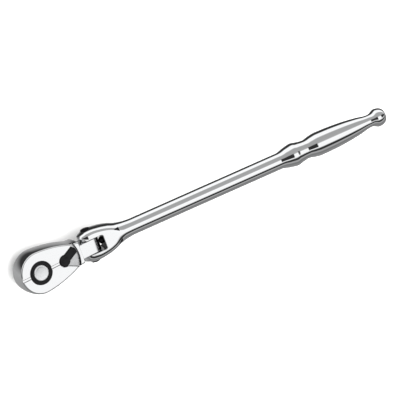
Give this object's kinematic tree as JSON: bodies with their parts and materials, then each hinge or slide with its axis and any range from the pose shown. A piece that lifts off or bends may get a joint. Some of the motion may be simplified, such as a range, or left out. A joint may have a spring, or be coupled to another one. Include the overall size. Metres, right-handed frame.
{
  "type": "flex-head ratchet wrench",
  "caption": "Long flex-head ratchet wrench with a square drive, reversing lever, quick-release button and swelling steel grip.",
  "frame": {"origin": "centre of the square drive, in the plane of the face that a socket seats against", "axes": "+Z along the drive axis and out of the back of the head, away from the socket; +X along the head from the drive to the handle; +Y to the left when +X points away"},
  "size_m": [0.2758, 0.0304, 0.0606],
  "materials": {
    "polished_chrome": "mirror-polished chrome plate",
    "satin_chrome": "satin chrome plate",
    "button_steel": "satin turned steel",
    "black_plastic": "moulded black plastic",
    "lever_black": "black-coated steel",
    "black_oxide_steel": "black oxide",
    "hardened_steel": "ground hardened steel",
    "spring_steel": "drawn spring wire",
    "bronze": "rolled bronze",
    "seal_rubber": "matt nitrile rubber"
  },
  "bodies": {
    "handle": {"handle": "polished_chrome", "pivot_bolt": "black_oxide_steel", "pivot_nut": "black_oxide_steel", "friction_washers": "black_oxide_steel", "friction_plug": "black_oxide_steel", "friction_spring": "spring_steel"},
    "head": {"head_body": "polished_chrome", "cover_plate": "satin_chrome", "cover_screws": "black_oxide_steel", "thrust_washer": "bronze", "pawl_pin": "hardened_steel"},
    "drive": {"drive_gear": "satin_chrome", "button_ring": "black_plastic", "button_spring": "spring_steel"},
    "button": {"release_button": "button_steel", "release_plunger": "hardened_steel"},
    "ball": {"detent_ball": "hardened_steel"},
    "lever": {"reversing_lever": "lever_black", "lever_plunger": "hardened_steel", "lever_spring": "spring_steel", "lever_clip": "black_oxide_steel", "lever_seal": "seal_rubber"},
    "pawl": {"pawl": "hardened_steel"}
  },
  "joints": [
    {"name": "head_flex", "type": "hinge", "parent": "handle", "child": "head", "pos_m": [0.042, 0, 0.0096], "axis": [0, 1, 0], "range_deg": [-99, 81]},
    {"name": "drive_spin", "type": "hinge", "parent": "head", "child": "drive", "pos_m": [0, 0, 0], "axis": [0, 0, 1], "continuous": true},
    {"name": "button_press", "type": "slide", "parent": "drive", "child": "button", "axis": [0, 0, -1], "range_m": [0, 0.002], "stiffness_N_per_m": 900, "springref_m": -0.002, "deforming": ["button_spring"]},
    {"name": "ball_retract", "type": "slide", "parent": "drive", "child": "ball", "axis": [-1, 0, 0], "range_m": [0, 0.0008]},
    {"name": "lever_switch", "type": "hinge", "parent": "head", "child": "lever", "pos_m": [0.0188, 0, 0.0152], "axis": [0, 0, 1], "range_deg": [-54, 0]},
    {"name": "pawl_rock", "type": "hinge", "parent": "head", "child": "pawl", "pos_m": [0.0127, 0, 0.0076], "axis": [0, 0, 1], "range_deg": [0, 7]}
  ],
  "couplings": [
    {"joint": "ball_retract", "follows": "button_press", "ratio": 0.4},
    {"joint": "pawl_rock", "follows": "lever_switch", "ratio": -0.12963}
  ]
}
